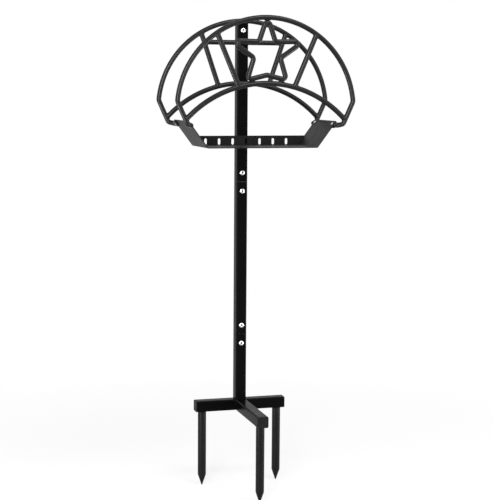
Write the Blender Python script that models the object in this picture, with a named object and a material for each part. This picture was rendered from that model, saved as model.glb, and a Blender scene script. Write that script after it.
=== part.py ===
"""Free-standing garden hose stand.

A square-tube post in three lengths stands on a base with three prongs. Two arched wire
frames stand one behind the other at its head, the front one with a five-point star, and
a bent sheet tray with a slotted back joins them. Everything is in metres. X runs from
left to right, -Y is the front, and Z = 0 is the underside of the base, the soil line.
"""

import math

import bmesh
import bpy
from mathutils import Matrix, Vector

# Clearances
GAP = 0.0003
HOLE_CLEARANCE = 0.0003

# Square tube of the post and the base
TUBE_WIDTH = 0.025
TUBE_WALL = 0.0015
TUBE_CORNER = 0.003
STUB_LENGTH = 0.151
MIDDLE_LENGTH = 0.347
HEAD_LENGTH = 0.357
CROSSBAR_LENGTH = 0.206
ARM_LENGTH = 0.177
CAP_FLANGE = 0.002
CAP_DEPTH = 0.012
SLEEVE_WALL = 0.001
SLEEVE_LENGTH = 0.076

# Prongs
PRONG_DIAMETER = 0.019
PRONG_LENGTH = 0.173
PRONG_TAPER = 0.0245
PRONG_TIP_DIAMETER = 0.002
CROSSBAR_PRONG_INSET = 0.0145
ARM_PRONG_INSET = 0.020

# Wire frames
ROD_DIAMETER = 0.011
FRAME_SPACING = 0.181
HOOP_RADIUS = 0.194
HOOP_HALF_SWEEP = math.radians(84.3)
HOOP_BEND = 0.015
LEG_LENGTH = 0.0525
LEG_LEAN = math.radians(24.3)
SADDLE_RADIUS = 0.239
SADDLE_DROP = 0.137
FRONT_SPOKE_TOP = 0.1088
FRONT_SPOKE_FOOT = 0.061
BACK_SPOKE_TOP = 0.0976
BACK_SPOKE_FOOT = 0.0575
BAR_DROP = 0.0475

# Star: the reach of its bent rod's centre line from its middle, and the turn from tip to notch
STAR_ARM_REACH = 0.068
STAR_NOTCH_REACH = 0.0323
STAR_LOWER_NOTCH_REACH = 0.045
STAR_STEP = math.radians(36)
STAR_TIP_BEND = 0.0065
STAR_NOTCH_BEND = 0.008

# Tray
TRAY_THICKNESS = 0.002
TRAY_SETBACK = 0.0225
TRAY_INSET = 0.0071
TRAY_RISE = 0.0048
TRAY_WALL_LENGTH = 0.0706
TRAY_WALL_ANGLE = math.radians(53.3)
TRAY_BEND = 0.003
FLANGE_HEIGHT = 0.0219
SLOT_WIDTH = 0.006
SLOT_HEIGHT = 0.0138
SLOT_PITCH = 0.031
SLOT_SILL = 0.0023
SLOT_MARGIN = 0.020

# Flattened feet of the hoops, each with an eye that takes a screw
EYE_RADIUS = 0.008
EYE_THICKNESS = 0.004
EYE_FROM_EDGE = 0.010
FOOT_STANDOFF = 0.009
FOOT_BEND = 0.006
FOOT_TRANSITION = 0.0075
FOOT_FLAT_BEFORE_TRAY = 0.0015

# Fasteners: the bolts through the post, and the tray's screws, which are shaped like them
BOLT_DIAMETER = 0.006
BOLT_HEAD_DIAMETER = 0.0115
BOLT_HEAD_HEIGHT = 0.0033
BOLT_HEAD_EDGE = 0.0013
SOCKET_DIAMETER = 0.0046
SOCKET_DEPTH = 0.0018
NUT_ACROSS_FLATS = 0.010
NUT_HEIGHT = 0.005
THREAD_END = 0.0015
BOLT_FROM_END = 0.0205
SCREW_DIAMETER = 0.004

# Facets
ROD_SIDES = 12
PRONG_SIDES = 24
BOLT_SIDES = 12
CORNER_SEGMENTS = 3
BEND_STEPS = 4
ARC_STEP = math.radians(6)
TURN_STEP = math.radians(24)
EYE_STEPS = 3
EYE_END = math.radians(78)
SHARP_EDGE = math.radians(35)

# Square tubes, caps and sleeves
HALF_TUBE = TUBE_WIDTH / 2
BORE_WIDTH = TUBE_WIDTH - 2 * TUBE_WALL
BORE_CORNER = TUBE_CORNER - TUBE_WALL
PLUG_WIDTH = BORE_WIDTH - 2 * GAP
PLUG_CORNER = BORE_CORNER - GAP

# Heights along the post
STUB_FOOT = TUBE_WIDTH + GAP
LOWER_SEAM = STUB_FOOT + STUB_LENGTH
MIDDLE_FOOT = LOWER_SEAM + GAP
UPPER_SEAM = MIDDLE_FOOT + MIDDLE_LENGTH
HEAD_FOOT = UPPER_SEAM + GAP
POST_TOP = HEAD_FOOT + HEAD_LENGTH
BOLT_HEIGHTS = (
    POST_TOP - BOLT_FROM_END,
    HEAD_FOOT + BOLT_FROM_END,
    UPPER_SEAM - BOLT_FROM_END,
    MIDDLE_FOOT + BOLT_FROM_END,
    LOWER_SEAM - BOLT_FROM_END,
)

# Wire frames: their planes, and the points of one frame as (X, Z)
ROD = ROD_DIAMETER / 2
BACK_PLANE = -HALF_TUBE - GAP - ROD
FRONT_PLANE = BACK_PLANE - FRAME_SPACING
HOOP_CENTRE = POST_TOP - HOOP_RADIUS
SADDLE_CENTRE = POST_TOP - SADDLE_DROP - SADDLE_RADIUS
BAR_HEIGHT = POST_TOP - BAR_DROP
HOOP_END = Vector((
    HOOP_RADIUS * math.sin(HOOP_HALF_SWEEP),
    HOOP_CENTRE + HOOP_RADIUS * math.cos(HOOP_HALF_SWEEP),
))
LEG_WAY = Vector((-math.sin(LEG_LEAN), -math.cos(LEG_LEAN)))
LEG_FOOT = HOOP_END + LEG_WAY * LEG_LENGTH

# Tray: its right-hand wall as (X, Z), measured on the outside
TRAY_FRONT = FRONT_PLANE + TRAY_SETBACK
TRAY_BACK = BACK_PLANE - TRAY_SETBACK
WALL_WAY = Vector((math.cos(TRAY_WALL_ANGLE), math.sin(TRAY_WALL_ANGLE)))
WALL_NORMAL = Vector((-math.sin(TRAY_WALL_ANGLE), math.cos(TRAY_WALL_ANGLE)))
WALL_TOP = LEG_FOOT + Vector((-TRAY_INSET, TRAY_RISE))
WALL_FOOT = WALL_TOP - WALL_WAY * TRAY_WALL_LENGTH
SCREW_POINT = WALL_TOP - WALL_WAY * EYE_RADIUS
SCREW_DEPTHS = (TRAY_FRONT + EYE_FROM_EDGE, TRAY_BACK - EYE_FROM_EDGE)
EYE_CENTRE = SCREW_POINT - WALL_NORMAL * (GAP + EYE_THICKNESS / 2)
HEAD_SEAT = SCREW_POINT + WALL_NORMAL * (TRAY_THICKNESS + GAP)

# Fasteners
BOLT_HOLE = BOLT_DIAMETER / 2 + HOLE_CLEARANCE
BOLT_SHANK_LENGTH = TUBE_WIDTH + 2 * GAP + NUT_HEIGHT + THREAD_END
SCREW_HOLE = SCREW_DIAMETER / 2 + HOLE_CLEARANCE
SCREW_SHANK_LENGTH = TRAY_THICKNESS + 2 * GAP + EYE_THICKNESS

FORWARD = Vector((0, -1, 0))
BACKWARD = Vector((0, 1, 0))
SIDES = (("left", -1), ("right", 1))


# Materials


def make_material(name, colour, roughness, metallic):
    material = bpy.data.materials.new(name)
    material.use_nodes = True
    shader = material.node_tree.nodes["Principled BSDF"]
    shader.inputs["Base Color"].default_value = (*colour, 1)
    shader.inputs["Roughness"].default_value = roughness
    shader.inputs["Metallic"].default_value = metallic
    return material


def tube_coat():
    return make_material("black_tube_coat", (0.022, 0.022, 0.025), 0.42, 0.0)


def rod_coat():
    return make_material("black_rod_coat", (0.028, 0.029, 0.030), 0.36, 0.0)


def sheet_coat():
    return make_material("black_sheet_coat", (0.036, 0.037, 0.038), 0.48, 0.0)


def prong_coat():
    return make_material("black_prong_coat", (0.024, 0.024, 0.026), 0.38, 0.0)


def bright_zinc():
    return make_material("bright_zinc", (0.72, 0.72, 0.70), 0.28, 1.0)


def dull_zinc():
    return make_material("dull_zinc", (0.52, 0.53, 0.53), 0.45, 1.0)


def black_plastic():
    return make_material("black_plastic", (0.018, 0.018, 0.019), 0.6, 0.0)


# Objects


def clear_scene():
    for old in list(bpy.data.objects):
        bpy.data.objects.remove(old, do_unlink=True)


def place(x, y, z, turn=Matrix.Identity(4)):
    return Matrix.Translation((x, y, z)) @ turn


def facing(way):
    """The turn that takes Z to this direction, and X to a level one square to it."""
    side = Vector((1, 0, 0)) if abs(way.y) > abs(way.x) else Vector((0, 1, 0))
    return Matrix((side, way.cross(side), way)).transposed().to_4x4()


def add_mesh(name, mesh, material, matrix=Matrix.Identity(4), parent=None):
    if not mesh.materials:
        mesh.materials.append(material)
    made = bpy.data.objects.new(name, mesh)
    bpy.context.scene.collection.objects.link(made)
    made.matrix_local = matrix
    made.parent = parent
    return made


def finish_mesh(name, bm):
    """Close the bmesh into a mesh, smooth on its round sides."""
    bmesh.ops.recalc_face_normals(bm, faces=bm.faces[:])
    mesh = bpy.data.meshes.new(name)
    bm.to_mesh(mesh)
    bm.free()
    mesh.shade_smooth()
    mesh.set_sharp_from_angle(angle=SHARP_EDGE)
    return mesh


def add_piece(name, bm, material, matrix=Matrix.Identity(4), parent=None):
    return add_mesh(name, finish_mesh(name, bm), material, matrix, parent)


def add_cutter(name, bm, material, parent=None):
    cutter = add_piece(name, bm, material, parent=parent)
    cutter.hide_render = True
    cutter.display_type = "WIRE"
    return cutter


def boolean(target, other, operation="DIFFERENCE"):
    modifier = target.modifiers.new(other.name, "BOOLEAN")
    modifier.operation = operation
    modifier.solver = "EXACT"
    modifier.object = other


# Lofts: a ring drawn from one place to the next


def new_items(made, kind):
    return [item for item in made["geom"] if isinstance(item, kind)]


def loft(bm, rings, sides, closed=False, open_end=False):
    """Draw a circle through a list of rings, capped unless it is closed or open.

    Each ring is a matrix with the half width and the half thickness of the circle there.
    """
    matrix, width, thickness = rings[0]
    made = bmesh.ops.create_circle(
        bm,
        cap_ends=not closed,
        radius=1,
        segments=sides,
        matrix=matrix @ Matrix.Diagonal((width, thickness, 1, 1)),
    )
    first = edges = list({edge for vert in made["verts"] for edge in vert.link_edges})
    for before, after in zip(rings, rings[1:]):
        made = bmesh.ops.extrude_edge_only(bm, edges=edges)
        verts = set(new_items(made, bmesh.types.BMVert))
        edges = [edge for edge in new_items(made, bmesh.types.BMEdge) if verts.issuperset(edge.verts)]
        scale = Matrix.Diagonal((after[1] / before[1], after[2] / before[2], 1, 1))
        matrix = after[0] @ scale @ before[0].inverted()
        bmesh.ops.transform(bm, matrix=matrix, verts=list(verts))
    if closed:
        bmesh.ops.bridge_loops(bm, edges=first + edges)
    elif not open_end:
        bmesh.ops.contextual_create(bm, geom=edges)


def turned(profile, sides):
    """A round piece along Z, from its (height, radius) steps."""
    bm = bmesh.new()
    loft(bm, [(place(0, 0, height), radius, radius) for height, radius in profile], sides)
    return bm


def rings_along(points, sizes, normal, end_way=None, closed=False):
    """The rings of a path, from its points and their (half width, half thickness along the normal)."""
    rings = []
    last = len(points) - 1
    for index, (point, (width, thickness)) in enumerate(zip(points, sizes)):
        before = points[index - 1] if index or closed else point
        after = points[(index + 1) % len(points)] if index < last or closed else point
        way = ((point - before).normalized() + (after - point).normalized()).normalized()
        if index == last and end_way:
            way = end_way
        normal = (normal - way * normal.dot(way)).normalized()
        turn = Matrix((normal.cross(way), normal, way)).transposed().to_4x4()
        rings.append((Matrix.Translation(point) @ turn, width, thickness))
    return rings


def rod(points, grow=0.0, closed=False):
    """A round rod along a path that lies in a frame's plane."""
    bm = bmesh.new()
    sizes = [(ROD + grow, ROD + grow)] * len(points)
    loft(bm, rings_along(points, sizes, BACKWARD, closed=closed), ROD_SIDES, closed=closed)
    return bm


def in_plane(point):
    """An (X, Z) point in a frame's own plane."""
    return Vector((point[0], 0, point[1]))


def round_corner(before, corner, after, radius):
    """The points of the arc that rounds one corner of a path."""
    way_in = (corner - before).normalized()
    way_out = (after - corner).normalized()
    turn = way_in.angle(way_out)
    start = corner - way_in * radius * math.tan(turn / 2)
    across = (way_out - way_in * way_in.dot(way_out)).normalized()
    points = []
    for step in range(BEND_STEPS + 1):
        angle = turn * step / BEND_STEPS
        points.append(start + across * radius * (1 - math.cos(angle)) + way_in * radius * math.sin(angle))
    return points


def arc_points(radius, centre_height, start, end, step_angle=ARC_STEP):
    """Points of an arc in a frame's plane, with angles counted from its top towards +X."""
    count = math.ceil(abs(end - start) / step_angle)
    turns = [start + (end - start) * step / count for step in range(count + 1)]
    return [Vector((radius * math.sin(a), 0, centre_height + radius * math.cos(a))) for a in turns]


def height_on_arc(x, radius, centre_height):
    return centre_height + math.sqrt(radius**2 - x**2)


# Square tube


def rounded_square(bm, width, corner):
    bmesh.ops.create_grid(bm, x_segments=1, y_segments=1, size=width / 2)
    bmesh.ops.bevel(
        bm,
        geom=bm.verts[:],
        offset=corner,
        segments=CORNER_SEGMENTS,
        profile=0.5,
        affect="VERTICES",
        material=-1,
    )


def extrude_up(bm, faces, height):
    made = bmesh.ops.extrude_face_region(bm, geom=faces)
    bmesh.ops.translate(bm, vec=(0, 0, height), verts=new_items(made, bmesh.types.BMVert))
    return new_items(made, bmesh.types.BMFace)


def square_tube(width, wall, corner, length):
    """A length of square tube, standing on its end at Z = 0."""
    bm = bmesh.new()
    rounded_square(bm, width, corner)
    inner = bm.faces[:]
    bmesh.ops.inset_region(bm, faces=inner, thickness=wall, use_boundary=True, use_even_offset=True)
    bmesh.ops.delete(bm, geom=inner, context="FACES")
    extrude_up(bm, bm.faces[:], length)
    return bm


def post_tube(length):
    return square_tube(TUBE_WIDTH, TUBE_WALL, TUBE_CORNER, length)


def end_cap():
    """A flanged plug: its outer face at Z = 0, its plug reaching up into the tube."""
    bm = bmesh.new()
    rounded_square(bm, TUBE_WIDTH, TUBE_CORNER)
    top = extrude_up(bm, bm.faces[:], CAP_FLANGE)
    step = (TUBE_WIDTH - PLUG_WIDTH) / 2
    bmesh.ops.inset_region(bm, faces=top, thickness=step, use_boundary=True, use_even_offset=True)
    extrude_up(bm, top, CAP_DEPTH)
    bmesh.ops.delete(bm, geom=top, context="FACES_ONLY")
    return bm


# Fasteners


def bolt_mesh(name, diameter, shank_length):
    """A button-head bolt along Z, with the underside of its head at Z = 0."""
    head = BOLT_HEAD_DIAMETER / 2
    socket = SOCKET_DIAMETER / 2
    crown = (head + socket) / 2
    shank = BOLT_DIAMETER / 2
    scale = diameter / BOLT_DIAMETER
    steps = (
        (BOLT_HEAD_HEIGHT - SOCKET_DEPTH, socket),
        (BOLT_HEAD_HEIGHT, socket),
        (BOLT_HEAD_HEIGHT, crown),
        (BOLT_HEAD_EDGE, head),
        (0, head),
        (0, shank),
        (-shank_length / scale, shank),
    )
    profile = [(scale * height, scale * radius) for height, radius in steps]
    return finish_mesh(name, turned(profile, BOLT_SIDES))


def nut_mesh():
    """A hexagon nut, standing on Z = 0."""
    bm = bmesh.new()
    sides = 6
    across_corners = NUT_ACROSS_FLATS / math.cos(math.pi / sides)
    bmesh.ops.create_circle(bm, radius=across_corners / 2, segments=sides)
    bmesh.ops.subdivide_edges(bm, edges=bm.edges[:], cuts=1)
    bmesh.ops.create_circle(bm, radius=BOLT_HOLE, segments=2 * sides)
    bmesh.ops.bridge_loops(bm, edges=bm.edges[:])
    extrude_up(bm, bm.faces[:], NUT_HEIGHT)
    return finish_mesh("nut", bm)


def holes(places, radius, length):
    """Round cutters, one for each place, each running both ways along its own Z."""
    bm = bmesh.new()
    for matrix in places:
        rings = [(matrix @ place(0, 0, z), radius, radius) for z in (-length, length)]
        loft(bm, rings, BOLT_SIDES)
    return bm


# Base


def build_base(coat):
    along_x = facing(Vector((1, 0, 0)))
    against_x = facing(Vector((-1, 0, 0)))
    half_length = CROSSBAR_LENGTH / 2
    crossbar = post_tube(CROSSBAR_LENGTH)
    add_piece("base_crossbar", crossbar, coat, place(-half_length, 0, HALF_TUBE, along_x))
    arm_root = -HALF_TUBE - GAP
    arm_end = arm_root - ARM_LENGTH
    add_piece("base_arm", post_tube(ARM_LENGTH), coat, place(0, arm_root, HALF_TUBE, facing(FORWARD)))

    plastic = black_plastic()
    cap = finish_mesh("end_cap", end_cap())
    outside = half_length + GAP + CAP_FLANGE
    add_mesh("crossbar_cap_left", cap, plastic, place(-outside, 0, HALF_TUBE, along_x))
    add_mesh("crossbar_cap_right", cap, plastic, place(outside, 0, HALF_TUBE, against_x))
    cap_front = arm_end - GAP - CAP_FLANGE
    add_mesh("arm_cap", cap, plastic, place(0, cap_front, HALF_TUBE, facing(BACKWARD)))
    down = facing(Vector((0, 0, -1)))
    add_mesh("post_cap", cap, plastic, place(0, 0, POST_TOP + GAP + CAP_FLANGE, down))

    radius = PRONG_DIAMETER / 2
    profile = (
        (-GAP, radius),
        (PRONG_TAPER - PRONG_LENGTH, radius),
        (-PRONG_LENGTH, PRONG_TIP_DIAMETER / 2),
    )
    prong = finish_mesh("prong", turned(profile, PRONG_SIDES))
    steel = prong_coat()
    reach = half_length - CROSSBAR_PRONG_INSET
    for side, sign in SIDES:
        add_mesh(f"prong_{side}", prong, steel, place(sign * reach, 0, 0))
    add_mesh("prong_front", prong, steel, place(0, arm_end + ARM_PRONG_INSET, 0))


# Post


def build_post(coat, bright):
    turn = facing(FORWARD)
    places = [place(0, 0, height, turn) for height in BOLT_HEIGHTS]
    cutter = add_cutter("post_bolt_holes", holes(places, BOLT_HOLE, TUBE_WIDTH), coat)
    tubes = (
        ("post_stub", STUB_FOOT, STUB_LENGTH),
        ("post_middle_tube", MIDDLE_FOOT, MIDDLE_LENGTH),
        ("post_head_tube", HEAD_FOOT, HEAD_LENGTH),
    )
    for name, foot, tube_length in tubes:
        boolean(add_piece(name, post_tube(tube_length), coat, place(0, 0, foot)), cutter)
    dull = dull_zinc()
    for name, seam in (("lower_sleeve", LOWER_SEAM), ("upper_sleeve", UPPER_SEAM)):
        sleeve = square_tube(PLUG_WIDTH, SLEEVE_WALL, PLUG_CORNER, SLEEVE_LENGTH)
        foot = seam + (GAP - SLEEVE_LENGTH) / 2
        boolean(add_piece(name, sleeve, dull, place(0, 0, foot)), cutter)

    bolt = bolt_mesh("post_bolt", BOLT_DIAMETER, BOLT_SHANK_LENGTH)
    nut = nut_mesh()
    for number, height in enumerate(BOLT_HEIGHTS, 1):
        add_mesh(f"post_bolt_{number}", bolt, bright, place(0, -HALF_TUBE - GAP, height, turn))
        add_mesh(f"post_nut_{number}", nut, bright, place(0, HALF_TUBE + GAP, height, facing(BACKWARD)))


# Wire frames


def hoop(tray_side, grow=0.0):
    """The bent hoop of one frame; tray_side is the way along Y in which its feet turn.

    Half of it is drawn, from the end of the right foot's eye up to the hoop's top, and
    mirrored.
    """
    eye = in_plane(EYE_CENTRE)
    hole = TRAY_SETBACK + EYE_FROM_EDGE
    flat = (EYE_RADIUS + grow, EYE_THICKNESS / 2 + grow)
    full = (ROD + grow, ROD + grow)
    points = []
    sizes = []
    for step in range(EYE_STEPS, -1, -1):
        angle = EYE_END * step / EYE_STEPS
        points.append(eye + tray_side * (hole + EYE_RADIUS * math.sin(angle)))
        sizes.append((EYE_RADIUS * math.cos(angle) + grow, flat[1]))
    flat_end = TRAY_SETBACK - FOOT_FLAT_BEFORE_TRAY
    points.append(eye + tray_side * flat_end)
    sizes.append(flat)
    points.append(eye + tray_side * (flat_end - FOOT_TRANSITION))
    sizes.append(full)

    turn = eye + tray_side * FOOT_STANDOFF
    foot = in_plane(LEG_FOOT)
    arc = arc_points(HOOP_RADIUS, HOOP_CENTRE, HOOP_HALF_SWEEP, 0)
    bends = round_corner(points[-1], turn, foot, FOOT_BEND)
    bends += round_corner(turn, foot, arc[0], FOOT_BEND)
    bends += round_corner(foot, arc[0], arc[1], HOOP_BEND)
    points += bends + arc[1:]
    sizes += [full] * (len(points) - len(sizes))

    bm = bmesh.new()
    rings = rings_along(points, sizes, in_plane(WALL_NORMAL), end_way=Vector((-1, 0, 0)))
    loft(bm, rings, ROD_SIDES, open_end=True)
    bmesh.ops.mirror(bm, geom=bm.verts[:] + bm.edges[:] + bm.faces[:], merge_dist=1e-6, axis="X")
    return bm


def saddle_half_sweep():
    """The angle at which the saddle's arc meets the centre line of a leg."""
    offset = HOOP_END - Vector((0, SADDLE_CENTRE))
    along = offset.dot(LEG_WAY)
    reach = -along - math.sqrt(along**2 - offset.length_squared + SADDLE_RADIUS**2)
    meeting = offset + LEG_WAY * reach
    return math.atan2(meeting.x, meeting.y)


def saddle(grow=0.0):
    half_sweep = saddle_half_sweep()
    return rod(arc_points(SADDLE_RADIUS, SADDLE_CENTRE, -half_sweep, half_sweep), grow)


def spoke_ends(top, foot, sign):
    return (
        in_plane((sign * top, height_on_arc(top, HOOP_RADIUS, HOOP_CENTRE))),
        in_plane((sign * foot, height_on_arc(foot, SADDLE_RADIUS, SADDLE_CENTRE))),
    )


def build_frame(name, plane, tray_side, spoke_top, spoke_foot, coat):
    """A hoop with its saddle and spokes; the rods that butt on another are coped round it."""
    frame = bpy.data.objects.new(f"{name}_frame", None)
    bpy.context.scene.collection.objects.link(frame)
    frame.location = (0, plane, 0)
    add_piece(f"{name}_hoop", hoop(tray_side), coat, parent=frame)
    hoop_cutter = add_cutter(f"{name}_hoop_cutter", hoop(tray_side, GAP), coat, frame)
    saddle_piece = add_piece(f"{name}_saddle", saddle(), coat, parent=frame)
    saddle_cutter = add_cutter(f"{name}_saddle_cutter", saddle(GAP), coat, frame)
    boolean(saddle_piece, hoop_cutter)
    for side, sign in SIDES:
        ends = spoke_ends(spoke_top, spoke_foot, sign)
        spoke = add_piece(f"{name}_spoke_{side}", rod(ends), coat, parent=frame)
        boolean(spoke, hoop_cutter)
        boolean(spoke, saddle_cutter)
    return frame


def build_bar(frame, coat):
    """The level bar between the back frame's spokes."""
    ends = []
    cutters = []
    for side, sign in SIDES:
        top, foot = spoke_ends(BACK_SPOKE_TOP, BACK_SPOKE_FOOT, sign)
        share = (top.z - BAR_HEIGHT) / (top.z - foot.z)
        ends.append(top.lerp(foot, share))
        cutters.append(add_cutter(f"back_spoke_cutter_{side}", rod((top, foot), GAP), coat, frame))
    bar = add_piece("back_bar", rod(ends), coat, parent=frame)
    for cutter in cutters:
        boolean(bar, cutter)


# Star


def star_centre_and_reach():
    """Where the star's middle lies, and how far its top and lower tips reach, so that it just fits.

    The rounded top tip touches the hoop from below and the two lower ones touch the
    saddle from above.
    """
    seat = ROD_DIAMETER + GAP
    top_bend = POST_TOP - seat - STAR_TIP_BEND
    rise = top_bend - SADDLE_CENTRE
    clear = SADDLE_RADIUS + seat + STAR_TIP_BEND
    lean = 1 + math.cos(STAR_STEP)
    half = rise * lean
    reach = (half - math.sqrt(half**2 - 2 * lean * (rise**2 - clear**2))) / (2 * lean)
    return top_bend - reach, reach + STAR_TIP_BEND


def star_bends():
    """The ten bends in turn, each as its centre and its radius, below zero where it turns left."""
    height, reach = star_centre_and_reach()
    tips = (reach, STAR_ARM_REACH, reach, reach, STAR_ARM_REACH)
    upper_notches = (STAR_NOTCH_REACH, STAR_NOTCH_REACH)
    notches = (*upper_notches, STAR_LOWER_NOTCH_REACH, *upper_notches)
    bends = []
    angle = 0
    for tip, notch in zip(tips, notches):
        for out, radius in (
            (tip - STAR_TIP_BEND, STAR_TIP_BEND),
            (notch + STAR_NOTCH_BEND, -STAR_NOTCH_BEND),
        ):
            centre = Vector((out * math.sin(angle), height + out * math.cos(angle)))
            bends.append((centre, radius))
            angle += STAR_STEP
    return bends


def right_of(way):
    return Vector((way.y, -way.x))


def star_path():
    """Run the rod round each bend in turn, straight from one bend to the next."""
    bends = star_bends()
    ways = []
    for (centre, radius), (next_centre, next_radius) in zip(bends, bends[1:] + bends[:1]):
        span = next_centre - centre
        offset = next_radius - radius
        straight = math.sqrt(span.length_squared - offset**2)
        ways.append((span * straight - right_of(span) * offset).normalized())
    points = []
    for index, (centre, radius) in enumerate(bends):
        before, after = ways[index - 1], ways[index]
        turn = before.angle_signed(after)
        steps = math.ceil(abs(turn) / TURN_STEP)
        for step in range(steps + 1):
            angle = turn * step / steps
            way = Matrix.Rotation(-angle, 2) @ before
            points.append(in_plane(centre - right_of(way) * radius))
    return points


# Tray


def tray_profile():
    """The outline of the bent sheet, seen from the front: its outside, then its inside."""
    inner_foot = WALL_FOOT + TRAY_THICKNESS * Vector((-math.tan(TRAY_WALL_ANGLE / 2), 1))
    inner_top = WALL_TOP + WALL_NORMAL * TRAY_THICKNESS
    lines = (
        (WALL_TOP, WALL_FOOT, TRAY_BEND + TRAY_THICKNESS),
        (inner_top, inner_foot, TRAY_BEND),
    )
    outline = []
    for top, foot, bend in lines:
        top, foot = in_plane(top), in_plane(foot)
        middle = Vector((0, 0, foot.z))
        right = [top] + round_corner(top, foot, middle, bend)
        left = [Vector((-point.x, 0, point.z)) for point in reversed(right)]
        line = right + left
        outline += line if not outline else reversed(line)
    return outline


def plate(bm, outline, front, back):
    """A flat outline in the XZ plane, drawn out between two depths."""
    face = bm.faces.new([bm.verts.new((point.x, front, point.z)) for point in outline])
    made = bmesh.ops.extrude_face_region(bm, geom=[face])
    bmesh.ops.translate(bm, vec=(0, back - front, 0), verts=new_items(made, bmesh.types.BMVert))


def flange():
    """The upright back flange; its edges end inside the sheet, just short of the sheet's back edge."""
    inside = TRAY_THICKNESS / 2
    low = WALL_FOOT.y + inside
    high = WALL_FOOT.y + FLANGE_HEIGHT
    slope = WALL_WAY.x / WALL_WAY.y
    corners = []
    for height in (low, high):
        half_width = WALL_FOOT.x + (height - WALL_FOOT.y) * slope - inside / math.sin(TRAY_WALL_ANGLE)
        corners.append(Vector((half_width, 0, height)))
    mirrored = [Vector((-corner.x, 0, corner.z)) for corner in reversed(corners)]
    bm = bmesh.new()
    plate(bm, corners + mirrored, TRAY_BACK - GAP - TRAY_THICKNESS, TRAY_BACK - GAP)
    return bm


def slots():
    """Upright slots with round ends, spread evenly to both sides of the middle."""
    bm = bmesh.new()
    radius = SLOT_WIDTH / 2
    low = WALL_FOOT.y + SLOT_SILL + radius
    high = low + SLOT_HEIGHT - SLOT_WIDTH
    count = int((WALL_FOOT.x - SLOT_MARGIN) / SLOT_PITCH)
    for number in range(-count, count + 1):
        outline = []
        for height, start in ((high, -math.pi / 2), (low, math.pi / 2)):
            for point in arc_points(radius, height, start, start + math.pi, TURN_STEP):
                outline.append(point + Vector((number * SLOT_PITCH, 0, 0)))
        plate(bm, outline, TRAY_BACK - 2 * TRAY_THICKNESS, TRAY_BACK + TRAY_THICKNESS)
    return bm


def screw_places():
    """Where each tray screw's head sits on the wall, its Z pointing into the tray."""
    places = {}
    for depth_name, depth in zip(("front", "back"), SCREW_DEPTHS):
        for side, sign in SIDES:
            way = Vector((sign * WALL_NORMAL.x, 0, WALL_NORMAL.y))
            places[f"{depth_name}_{side}"] = place(sign * HEAD_SEAT.x, depth, HEAD_SEAT.y, facing(way))
    return places


def build_tray(coat, bright):
    bm = bmesh.new()
    plate(bm, tray_profile(), TRAY_FRONT, TRAY_BACK)
    tray = add_piece("tray", bm, coat)
    slotted_flange = add_cutter("slotted_flange", flange(), coat)
    boolean(slotted_flange, add_cutter("tray_slots", slots(), coat))
    boolean(tray, slotted_flange, "UNION")
    places = screw_places()
    cutters = holes(places.values(), SCREW_HOLE, 2 * EYE_RADIUS)
    screw_holes = add_cutter("screw_holes", cutters, coat)
    boolean(tray, screw_holes)
    for name in ("front_hoop", "back_hoop"):
        boolean(bpy.data.objects[name], screw_holes)

    screw = bolt_mesh("tray_screw", SCREW_DIAMETER, SCREW_SHANK_LENGTH)
    for name, matrix in places.items():
        add_mesh(f"tray_screw_{name}", screw, bright, matrix)


def build():
    clear_scene()
    tube = tube_coat()
    wire = rod_coat()
    bright = bright_zinc()
    build_base(tube)
    build_post(tube, bright)
    front = build_frame("front", FRONT_PLANE, BACKWARD, FRONT_SPOKE_TOP, FRONT_SPOKE_FOOT, wire)
    add_piece("front_star", rod(star_path(), closed=True), wire, parent=front)
    back = build_frame("back", BACK_PLANE, FORWARD, BACK_SPOKE_TOP, BACK_SPOKE_FOOT, wire)
    build_bar(back, wire)
    build_tray(sheet_coat(), bright)


build()
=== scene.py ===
"""Looks of the garden hose stand: smooth rods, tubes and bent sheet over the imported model,
with their weld beads, fasteners and powder coat, in a white studio. Everything is in metres,
in the model's own frame: X to the right, -Y to the front, Z = 0 at the soil line.
"""

import math

import bmesh
import bpy
from mathutils import Matrix, Vector


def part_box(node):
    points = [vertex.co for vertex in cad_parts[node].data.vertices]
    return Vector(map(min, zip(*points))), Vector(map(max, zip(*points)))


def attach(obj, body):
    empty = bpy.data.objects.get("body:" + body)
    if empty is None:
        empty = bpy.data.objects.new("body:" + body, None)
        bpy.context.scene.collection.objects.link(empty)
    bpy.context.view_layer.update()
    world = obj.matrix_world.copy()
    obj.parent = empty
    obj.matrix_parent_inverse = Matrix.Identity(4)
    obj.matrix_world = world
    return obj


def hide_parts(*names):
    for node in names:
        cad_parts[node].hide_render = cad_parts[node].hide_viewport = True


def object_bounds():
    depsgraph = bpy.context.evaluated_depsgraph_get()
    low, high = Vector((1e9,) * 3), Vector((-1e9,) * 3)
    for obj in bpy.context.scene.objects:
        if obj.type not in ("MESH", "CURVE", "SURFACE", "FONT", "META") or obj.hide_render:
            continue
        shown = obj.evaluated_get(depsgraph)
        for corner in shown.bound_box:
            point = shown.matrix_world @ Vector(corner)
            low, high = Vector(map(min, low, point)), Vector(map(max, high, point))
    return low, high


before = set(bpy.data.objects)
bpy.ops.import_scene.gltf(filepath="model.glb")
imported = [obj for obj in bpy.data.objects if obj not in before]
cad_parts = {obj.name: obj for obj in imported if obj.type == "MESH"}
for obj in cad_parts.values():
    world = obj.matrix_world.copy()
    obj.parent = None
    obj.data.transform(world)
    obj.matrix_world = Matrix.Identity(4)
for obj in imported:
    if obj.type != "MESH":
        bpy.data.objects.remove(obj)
cad_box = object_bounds()


# Places read from the model


def low(node, axis):
    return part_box(node)[0][axis]


def high(node, axis):
    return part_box(node)[1][axis]


def size(node, axis):
    return high(node, axis) - low(node, axis)


def middle(node, axis):
    return (high(node, axis) + low(node, axis)) / 2


X, Y, Z = range(3)

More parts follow.
